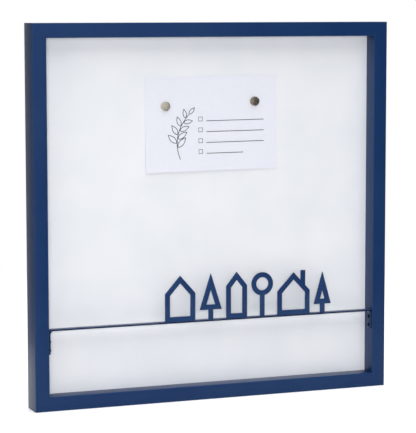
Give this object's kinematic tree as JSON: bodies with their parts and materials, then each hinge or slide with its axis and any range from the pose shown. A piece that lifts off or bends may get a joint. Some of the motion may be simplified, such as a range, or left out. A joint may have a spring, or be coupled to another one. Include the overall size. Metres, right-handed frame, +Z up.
{
  "type": "magnetic memo board",
  "caption": "Square framed magnetic memo board with a white steel face, a bar of upright cut-outs, a card held by disc magnets, and ring hangers behind.",
  "frame": {"origin": "middle of the underside of the bottom rail, half way through the frame's depth", "axes": "+X to the right of a person looking at the front, +Y to the back (the wall), +Z up"},
  "size_m": [0.4, 0.028, 0.4],
  "materials": {
    "frame_paint": "navy satin paint over fibreboard moulding",
    "white_powder_coat": "satin white powder coat on sheet steel",
    "navy_powder_coat": "satin navy powder coat on sheet steel",
    "fibreboard": "bare medium-density fibreboard",
    "zinc_steel": "zinc plated",
    "black_steel": "blackened steel",
    "nickel": "nickel plated",
    "card": "uncoated white card"
  },
  "bodies": {
    "frame": {"rail_top": "frame_paint", "rail_bottom": "frame_paint", "stile_left": "frame_paint", "stile_right": "frame_paint", "v_nail_bottom_right": "zinc_steel", "v_nail_top_right": "zinc_steel", "v_nail_top_left": "zinc_steel", "v_nail_bottom_left": "zinc_steel", "point_bottom_1": "zinc_steel", "point_bottom_2": "zinc_steel", "point_right_1": "zinc_steel", "point_right_2": "zinc_steel", "point_top_1": "zinc_steel", "point_top_2": "zinc_steel", "point_left_1": "zinc_steel", "point_left_2": "zinc_steel", "steel_sheet": "white_powder_coat", "backing_board": "fibreboard", "motif_bar": "navy_powder_coat", "house_wide": "navy_powder_coat", "fir_tall": "navy_powder_coat", "house_narrow": "navy_powder_coat", "tree_round": "navy_powder_coat", "house_chimney": "navy_powder_coat", "fir_small": "navy_powder_coat", "bar_screw_left_upper": "black_steel", "bar_screw_left_lower": "black_steel", "bar_screw_right_upper": "black_steel", "bar_screw_right_lower": "black_steel", "hanger_strap_left": "nickel", "hanger_strap_right": "nickel", "hanger_rivet_left": "zinc_steel", "hanger_rivet_right": "zinc_steel"},
    "card": {"memo_card": "card"},
    "left_magnet": {"magnet_left": "nickel"},
    "right_magnet": {"magnet_right": "nickel"},
    "left_ring": {"hanger_ring_left": "nickel"},
    "right_ring": {"hanger_ring_right": "nickel"}
  },
  "joints": [
    {"name": "card_lift", "type": "slide", "parent": "frame", "child": "card", "axis": [0, -1, 0], "range_m": [0, 0.06]},
    {"name": "left_magnet_pull", "type": "slide", "parent": "card", "child": "left_magnet", "axis": [0, -1, 0], "range_m": [0, 0.05]},
    {"name": "right_magnet_pull", "type": "slide", "parent": "card", "child": "right_magnet", "axis": [0, -1, 0], "range_m": [0, 0.05]},
    {"name": "left_ring_swing", "type": "hinge", "parent": "frame", "child": "left_ring", "pos_m": [-0.11, 0.0107, 0.3555], "axis": [1, 0, 0], "range_deg": [0, 180]},
    {"name": "right_ring_swing", "type": "hinge", "parent": "frame", "child": "right_ring", "pos_m": [0.11, 0.0107, 0.3555], "axis": [1, 0, 0], "range_deg": [0, 180]}
  ]
}
